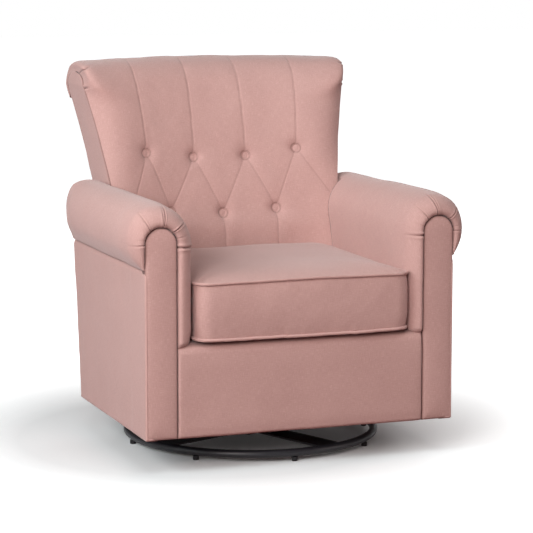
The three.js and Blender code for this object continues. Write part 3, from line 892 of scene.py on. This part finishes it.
def makeBack():
    grid, onTop, edge = backGrid()
    push, sewnAndShade = tuft(grid, onTop)
    push += wobble(grid, 90, 2.2, 41) + wobble(grid, 30, 0.7, 42)
    push[-8:] *= np.linspace(1, 0, 8)[:, None]
    inside = (0, 330, 640)
    quilted = pushed(grid, push, inside)
    # painted shade in the cover's turned-in edges at the side seams
    rim = np.ones((len(grid), 3))
    sewnAndShade = np.concatenate([rim, sewnAndShade, rim], axis=1)
    piece = clothPiece("inside_back_cover", [(tucked(quilted, edge), None, sewnAndShade)], inside)
    finishCloth(piece, 0.7, "inside_back_pad")
    return grid, quilted, onTop


def rearPanel():
    rows = []
    for z in np.concatenate([np.arange(83, 800, 6.0), [800]]):
        half = float(halfWidthAt(z)) + 1.0
        rear = float(backRear(z))
        left = [(-half, rear - 20)]
        for turn in np.linspace(0, math.pi / 2, 6):
            left.append((-half + 8 - 8 * math.cos(turn), rear - 8 + 8 * math.sin(turn)))
        middle = [(x, rear) for x in np.linspace(-half + 8, half - 8, 60)[1:-1]]
        line = np.array([*left, *middle, *[(-x, y) for x, y in left[::-1]]])
        rows.append(columns(*line.T, z))
    grid = np.array(rows)
    push = wobble(grid, 130, 2.0, 51)
    push[:, :8] = 0
    push[:, -8:] = 0
    return pushed(grid, push, (0, 150, 400))


def stripLines():
    # the front and rear edges of a side strip, y and z
    low = np.concatenate([np.arange(83, 560, 9.0), np.arange(560, 826, 4.0)])
    hidden = armRear(low) - 25
    hidden = hidden + (seamAt(low) - hidden) * ease(low, 500, 575)
    arch = smoothLine(back["strip"], back["crestRows"])
    apex = int(np.argmax(arch[:, 1]))
    rearArch = arch[apex:][::-1]
    lowRear = np.arange(83, rearArch[0, 1] - 2, 6.0)
    front = evenLine(np.concatenate([columns(hidden, low), arch[: apex + 1]]), 190)
    rear = evenLine(np.concatenate([columns(backRear(lowRear) - 7.5, lowRear), rearArch]), 190)
    gap = 3.4 + 3.6 * (1 - ease(front[:, 1], 610, 740))
    return front + inwardOf(front) * gap[:, None], rear


def makeOutsideBack():
    strips = [rearPanel()]
    front, rear = stripLines()
    shares = np.concatenate([[0, 0.006, 0.014, 0.03, 0.06], np.linspace(0.1, 0.94, 22), [0.97, 0.985, 1]])
    for sign in (-1, 1):
        rows = []
        for t in shares:
            line = front + (rear - front) * t
            # both edges of the strip turn in
            turned = 9.0 * math.exp(-t / 0.010) + 2.4 * math.exp(-(1 - t) / 0.02)
            half = halfWidthAt(line[:, 1]) + 2.4 - turned
            rows.append(columns(sign * half, *line.T))
        side = np.array(rows)
        puff = wobble(side, 70, 1.6, 53 + sign) + 1.2 * np.sin(math.pi * shares)[:, None]
        puff[:3] = 0
        puff[-2:] = 0
        # painted shade along the strip's front edge, in the seam beside the front cover
        dark = np.zeros(side.shape[:2])
        dark[:4] = np.array([1.0, 1.0, 0.8, 0.3])[:, None]
        strips.append((pushed(side, puff, (0, 300, 700)), None, dark))
    piece = clothPiece("outside_back_cover", strips, (0, 200, 450), 0.01)
    finishCloth(piece, 0.5, "outside_back")


button = {"radius": 11.8, "thickness": 6.0, "sink": 0.4}  # millimetres


def choose(piece, faceTest=None, edgeTest=None):
    # faces or edges chosen in edit mode
    mesh = bmesh.from_edit_mesh(piece.data)
    for face in mesh.faces:
        face.select_set(bool(faceTest and faceTest(face)))
    if edgeTest:
        for edge in mesh.edges:
            edge.select_set(edgeTest(edge))
    bmesh.update_edit_mesh(piece.data)


def addCylinder(name, sides, radius, tall, place):
    bpy.ops.mesh.primitive_cylinder_add(vertices=sides, radius=radius, depth=tall, location=place)
    piece = bpy.context.object
    piece.name = name
    bpy.ops.object.transform_apply(location=True)
    bpy.ops.object.mode_set(mode="EDIT")
    return piece


def modelButton(name):
    # a flat-backed dome, from a thin cylinder with a rounded rim
    size = button["radius"] / 1000
    tall = button["thickness"] / 1000
    piece = addCylinder(name, 48, size, tall, (0, 0, tall / 2))
    choose(piece, edgeTest=lambda edge: all(v.co.z > tall * 0.9 for v in edge.verts))
    bpy.ops.mesh.bevel(offset=tall * 0.62, segments=7, profile=0.55, affect="EDGES")
    choose(piece, faceTest=lambda face: face.normal.z > 0.95 and len(face.verts) > 10)
    for depth in (0.35, 0.2, 0.08):
        bpy.ops.mesh.inset(thickness=size * 0.16, depth=tall * depth * 0.3)
    bpy.ops.mesh.select_all(action="SELECT")
    bpy.ops.mesh.normals_make_consistent(inside=False)
    bpy.ops.object.mode_set(mode="OBJECT")
    smoothShade(piece)
    return piece


def makeButtons(plain, quilted, onTop):
    normal = gridNormals(quilted)
    (innerX, upperZ), (outerX, outerZ) = back["upper"]
    (_, middleZ), (lowX, lowZ) = back["lower"]
    upper = [(-outerX, outerZ), (-innerX, upperZ), (innerX, upperZ), (outerX, outerZ)]
    lower = [(-lowX, lowZ), (0, middleZ), (lowX, lowZ)]
    places = {f"upper_button_{i + 1}": place for i, place in enumerate(upper)}
    places.update({f"lower_button_{i + 1}": place for i, place in enumerate(lower)})
    front = plain[onTop == 0]
    for name, (x, z) in places.items():
        away = (front[..., 0] - x) ** 2 + (front[..., 2] - z) ** 2
        r, c = np.unravel_index(np.argmin(away), away.shape)
        lean = normal[r - 6 : r + 7, c - 6 : c + 7].reshape(-1, 3).mean(axis=0)
        if lean[1] > 0:
            lean = -lean
        lean = Vector(lean)
        piece = modelButton(f"{name}_cover")
        turned = lean.to_track_quat("Z", "Y").to_matrix().to_4x4()
        centre = Vector(quilted[r, c] + (0, swivelY, 0)) / 1000 - lean * (button["sink"] / 1000)
        piece.data.transform(Matrix.Translation(centre) @ turned)
        layer = piece.data.uv_layers.get("cloth") or piece.data.uv_layers.new(name="cloth")
        for loop in piece.data.loops:
            co = piece.data.vertices[loop.vertex_index].co
            layer.data[loop.index].uv = (co.x, co.z)
        coat(piece, "upholstery")
        finishCloth(piece, None, name)


cushion = {
    "halfWidth": 253.8,
    "aside": 4.7,  # how far it sits to the right of the middle
    "front": -351.0,
    "rear": 149.0,
    "corner": 34.0,
    "low": 303.0,  # z of the lower and the upper welt
    "high": 428.0,
    "crown": 25.0,
    "pipe": 3.7,
    "sideLimits": (-250.5, 260.5),  # the arms hold its sides
    "inside": (0, -100, 365),
    "wallRows": 34,
    "topShares": [
        0.0, 0.10, 0.2, 0.3, 0.4, 0.5, 0.6, 0.68, 0.75, 0.81, 0.86, 0.90, 0.93, 0.955, 0.972, 0.985, 0.994,
    ],
    "pinches": ((1, 6.0), (-1, 2.0)),  # side of each front corner, and depth
}


def cushionOutline(count):
    # a rounded rectangle, from the middle of the rear edge all the way round
    half = cushion["halfWidth"]
    front = cushion["front"]
    rear = cushion["rear"]
    radius = cushion["corner"]
    inX = half - radius
    line = [(0, rear), (inX, rear)]
    for a in np.linspace(0.1, 1.5, 12):
        line.append((inX + radius * math.sin(a), rear - radius + radius * math.cos(a)))
    line += [(half, y) for y in np.linspace(rear - radius, front + radius, 20)]
    for a in np.linspace(0.08, 1.5, 12):
        line.append((inX + radius * math.cos(a), front + radius - radius * math.sin(a)))
    line += [(x, front) for x in np.linspace(inX, 0, 14)]
    right = np.array(line, float)
    left = right[::-1][1:] * (-1, 1)
    ring = evenLine(np.concatenate([right, left]), count)
    ring[:, 0] += cushion["aside"]
    return ring


def cushionGrid(ring, middle):
    # over the top, down the wall and under to the middle again
    frontShare = ease(-ring[:, 1], -120, 340)
    bow = np.cos(np.clip((ring[:, 0] - middle[0]) / cushion["halfWidth"], -1, 1) * math.pi / 2)
    highZ = cushion["high"] - 1.5 + 3.0 * bow * frontShare
    lowZ = cushion["low"] - 1.0 - 2.0 * bow * frontShare
    rows = []
    for share in cushion["topShares"]:
        flat = middle + (ring - middle) * share
        lift = cushion["crown"] * (1 - share**4.0) ** 1.1 + 4.0 * math.sin(math.pi * share**3.4)
        seamZ = highZ.mean() + (highZ - highZ.mean()) * share**2
        rows.append(columns(*flat.T, seamZ + lift))
    direction = ring - middle
    direction /= np.linalg.norm(direction, axis=1, keepdims=True)
    for t in np.linspace(0, 1, cushion["wallRows"]):
        spread = 7.0 * math.sin(math.pi * t) ** 0.75 * (0.35 + 0.65 * frontShare)
        flat = ring + direction * spread[:, None]
        flat[:, 0] = np.clip(flat[:, 0], *cushion["sideLimits"])
        rows.append(columns(*flat.T, highZ + (lowZ - highZ) * t))
    for share in cushion["topShares"][::-1]:
        flat = middle + (ring - middle) * share
        seamZ = lowZ.mean() + (lowZ - lowZ.mean()) * share**2
        rows.append(columns(*flat.T, seamZ - 4.2 * (1 - share**8)))
    return np.array(rows)


def noiseAlong(run, size, first, second):
    return np.array([noise.noise(Vector((s / size, first, second))) for s in run])


def makeCushion():
    ring = cushionOutline(361)
    middle = np.array([cushion["aside"], (cushion["front"] + cushion["rear"]) / 2])
    grid = cushionGrid(ring, middle)
    push = wobble(grid, 80, 2.0, 61) + wobble(grid, 26, 0.5, 62)
    top = len(cushion["topShares"])
    wallEnd = top + cushion["wallRows"]
    # the middle of the top is one point
    push[:3] += (push[0].mean() - push[:3]) * np.array([1.0, 0.6, 0.25])[:, None]
    # small puckers along the seams
    run = lengths(ring)
    ripple = noiseAlong(run, 11, 3.3, 1.7) * 0.9
    push[top - 6 : top + 6] += ripple
    push[wallEnd - 6 : wallEnd + 6] += ripple
    below = np.sin(np.linspace(0, math.pi, 8))
    push[wallEnd : wallEnd + 8] += below[:, None] * noiseAlong(run, 7, 8.3, 2.7) * 2.0
    # the top is pinched in at the front corners
    for side, depth in cushion["pinches"]:
        x = grid[..., 0] - (side * (cushion["halfWidth"] - 14) + cushion["aside"])
        y = grid[..., 1] - (cushion["front"] + 16)
        across = x * 0.89 + y * side * 0.45
        along = y * 0.89 - x * side * 0.45
        near = bell(along, 26) * (np.arange(len(grid)) < top + 2)[:, None]
        push -= depth * near * bell(across, 2.6, 1.4)
        push += 0.6 * depth * near * bell(np.abs(across) - 7, 4.5)
    moved = pushed(grid, push, cushion["inside"])
    # the flat middles of the top and the underside
    flatRows = top - 4
    moved[:flatRows] = grid[:flatRows]
    moved[:flatRows, :, 2] += push[:flatRows]
    moved[-flatRows:] = grid[-flatRows:]
    moved[:, -1] = moved[:, 0]
    u = moved[..., 0].copy()
    v = moved[..., 1].copy()
    u[top:wallEnd] = run
    v[top:wallEnd] = moved[top:wallEnd, :, 2]
    piece = clothPiece("seat_cushion_cover", [(moved, (u, v), None)], cushion["inside"], 0.05)
    finishCloth(piece, 0.85, "seat_cushion")
    makePiping("cushion_top_piping", moved[top], middle, 1.6)
    makePiping("cushion_bottom_piping", moved[wallEnd - 1], middle, 1.6)


def makePiping(name, ring, middle, outward):
    direction = ring[:, :2] - middle
    direction = direction / np.linalg.norm(direction, axis=1, keepdims=True)
    path = ring.copy()
    path[:, :2] += direction * outward
    path = evenLine(path, 420)
    path[-1] = path[0]
    ahead = np.roll(path[:-1], -1, axis=0) - np.roll(path[:-1], 1, axis=0)
    ahead = np.concatenate([ahead, ahead[:1]])
    ahead /= np.linalg.norm(ahead, axis=1, keepdims=True)
    side = np.cross(ahead, (0, 0, 1.0))
    side /= np.linalg.norm(side, axis=1, keepdims=True)
    up = np.cross(side, ahead)
    around = np.linspace(0, 2 * math.pi, 15)
    radius = cushion["pipe"]
    grid = np.array([path + radius * (side * math.cos(a) + up * math.sin(a)) for a in around])
    build = bmesh.new()
    layer = build.loops.layers.uv.new("cloth")
    run = lengths(path)
    # the cover strip is cut on the bias
    u = run[None, :] * 0.7 + around[:, None] * radius
    v = run[None, :] * 0.7 - around[:, None] * radius
    core = Vector(path[0] + (0, swivelY, 0)) / 1000

    def facesOut(corners):
        a, b, _, d = corners[0]
        return (b - a).cross(d - a).dot(a - core) > 0

    addQuads(build, grid, layer, (u, v), facesOut)
    piece = meshPiece(name, build, 0.02)
    finishCloth(piece, None)


def liningPiece(name, grid, inside, thickness):
    piece = clothPiece(name, [grid], inside)
    coat(piece, "lining_cloth")
    bpy.ops.object.select_all(action="DESELECT")
    piece.select_set(True)
    bpy.context.view_layer.objects.active = piece
    solid = piece.modifiers.new("thickness", "SOLIDIFY")
    solid.thickness = thickness
    solid.offset = 0
    bpy.ops.object.modifier_apply(modifier=solid.name)
    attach(piece, "seat")
    return piece


def makeDeck():
    lo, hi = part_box("seat_deck")
    xs = np.linspace(lo.x, hi.x, 70) * 1000
    ys = np.linspace(lo.y, hi.y, 60) * 1000 - swivelY
    grid = np.zeros((len(ys), len(xs), 3))
    grid[..., 0] = xs[None, :]
    grid[..., 1] = ys[:, None]
    bowX = np.sin(np.linspace(0, math.pi, len(xs)))
    bowY = np.sin(np.linspace(0, math.pi, len(ys)))
    grid[..., 2] = hi.z * 1000 - 1.2 - 4.0 * bowX[None, :] * bowY[:, None]
    piece = liningPiece("seat_deck_cloth", grid, (0, -100, 100), 0.0012)
    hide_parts("seat_deck")


dust = {"windowX": 230.0, "windowY": 156.0}  # half sizes of the window for the base


def rectangle(x0, x1, y0, y1, count):
    corners = [(x0, y0), (x1, y0), (x1, y1), (x0, y1), (x0, y0)]
    line = []
    for (ax, ay), (bx, by) in zip(corners, corners[1:]):
        line += [(ax + (bx - ax) * t, ay + (by - ay) * t) for t in np.linspace(0, 1, count + 1)[:-1]]
    return np.array(line + line[:1])


def makeDustCover():
    lo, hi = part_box("dust_cover")
    wide, deep = dust["windowX"], dust["windowY"]
    outer = rectangle(lo.x * 1000, hi.x * 1000, lo.y * 1000 - swivelY, hi.y * 1000 - swivelY, 40)
    inner = rectangle(-wide, wide, -deep, deep, 40)
    rows = []
    for t in np.linspace(0, 1, 12):
        flat = outer + (inner - outer) * t
        rows.append(columns(*flat.T, (lo.z + hi.z) * 500 - 0.25 * math.sin(math.pi * t)))
    piece = liningPiece("dust_cover_cloth", np.array(rows), (0, 0, 400), 0.0008)
    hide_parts("dust_cover")
    flat = (hi.x - lo.x, hi.y - lo.y)


base = {"ring": 0.295, "tube": 0.0095, "height": 0.0195, "weldHalf": 0.0045, "weldLift": 0.0006}


def makeBaseRing():
    bpy.ops.mesh.primitive_torus_add(
        major_radius=base["ring"],
        minor_radius=base["tube"],
        major_segments=192,
        minor_segments=20,
        location=(0, swivelY / 1000, base["height"]),
    )
    ring = bpy.context.object
    ring.name = "base_ring_tube"
    bpy.ops.object.transform_apply(location=True)
    # a butt weld where the tube's ends meet, at the rear
    bpy.ops.object.mode_set(mode="EDIT")
    mesh = bmesh.from_edit_mesh(ring.data)
    for vert in mesh.verts:
        vert.select_set(abs(vert.co.x) < base["weldHalf"] and vert.co.y > 0.2)
    mesh.select_flush(True)
    bmesh.update_edit_mesh(ring.data)
    bpy.ops.transform.shrink_fatten(value=base["weldLift"])
    bpy.ops.object.mode_set(mode="OBJECT")
    smoothShade(ring)
    coat(ring, "black_steel")
    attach(ring, "base")
    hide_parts("base_ring")


def makeFeet():
    for i in range(8):
        name = f"base_foot_{i + 1}"
        lo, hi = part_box(name)
        middle = (lo + hi) / 2
        foot = addCylinder(f"{name}_pad", 32, (hi.x - lo.x) / 2, hi.z - lo.z, middle)
        choose(foot, edgeTest=lambda edge: all(v.co.z < middle.z for v in edge.verts))
        bpy.ops.mesh.bevel(offset=0.0016, segments=4, affect="EDGES")
        bpy.ops.object.mode_set(mode="OBJECT")
        bpy.ops.object.shade_smooth_by_angle(angle=math.radians(40))
        coat(foot, "rubber_foot")
        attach(foot, "base")
        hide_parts(name)


# the CAD's own solids keep their shapes and get a finish, by the first word that fits their name
finishes = [
    ("spring_wire", ["spring"]),
    ("black_steel", ["seat_rail"]),
    ("hardwood", ["rail", "stile", "arm_frame"]),
    ("rubber_foot", ["foot"]),
    ("plated_steel", ["pin", "race"]),
    ("lining_cloth", ["deck", "dust"]),
    ("upholstery", ["pad", "facing", "button", "back", "cushion", "border"]),
    ("black_steel", [""]),
]


def finishNodes():
    for node, solid in nodes.items():
        fitting = [slotName for slotName, words in finishes if any(word in node for word in words)]
        coat(solid, fitting[0])


# the floor glows with painted light that grows away from a point left of the chair, so near the chair it
# keeps a painted darker patch, darker to the left, and further off turns white; the room is warm below and
# grey above
floorGlow = {"aside": 0.11, "darkRadius": 0.44, "rise": 1.7}
room = {"below": colour(0.17, 0.04, 0.034), "above": colour(0.11, 0.105, 0.105), "steepness": 5.0}


def makeFloor():
    bpy.ops.mesh.primitive_plane_add(size=40, location=(0, 0, 0))
    floor = bpy.context.object
    floor.name = "studio_floor"
    material, place, shader = newMaterial("pale_floor")
    soft = place.noise(3.0, 2.0, 0.5)
    put(shader, "Base Color", soft.tint(colour(0.84, 0.85, 0.85), colour(0.86, 0.87, 0.87)))
    put(shader, "Roughness", 0.9)
    put(shader, "Specular IOR Level", 0.1)
    x, y, _ = place.parts()
    x = x + floorGlow["aside"]
    far = ((x * x + y * y).root() - floorGlow["darkRadius"]) * floorGlow["rise"]
    # painted light: the floor glows, faintly near the chair and white further off
    put(shader, "Emission Color", far.clamped().tint(colour(0.022, 0.022, 0.022), colour(1, 1, 1)))
    put(shader, "Emission Strength", 1.0)
    floor.data.materials.append(material)
    floor.visible_diffuse = False


def makeRoom():
    world = bpy.data.worlds.new("studio")
    world.use_nodes = True
    sky = world.node_tree.nodes["Background"]
    graph = Wire(world.node_tree)
    _, _, up = graph.make("ShaderNodeTexCoord", None, None, 0).parts()
    lit = (up * room["steepness"] + 1.0).clamped()
    glow = lit.tint(room["below"], room["above"])
    seen = graph.make("ShaderNodeLightPath", None, None, 0)
    put(sky, "Color", seen.tint(glow, colour(1.0, 1.0, 1.0)))
    bpy.context.scene.world = world


bpy.context.scene.view_settings.view_transform = "Standard"
makeCamera()
makeLamps()
makeFloor()
makeRoom()
print("camera, lamps and floor are in place")
finishNodes()
makeArm(True)
makeArm(False)
makeFacing(True)
makeFacing(False)
makeBorder()
print("arms, facings and border are made")
backPlain, backShape, backTop = makeBack()
makeOutsideBack()
makeButtons(backPlain, backShape, backTop)
print("the back and its buttons are made")
makeCushion()
makeDeck()
makeDustCover()
print("cushion, deck and dust cover are made")
makeBaseRing()
makeFeet()
print("the base is made")

bpy.context.view_layer.update()
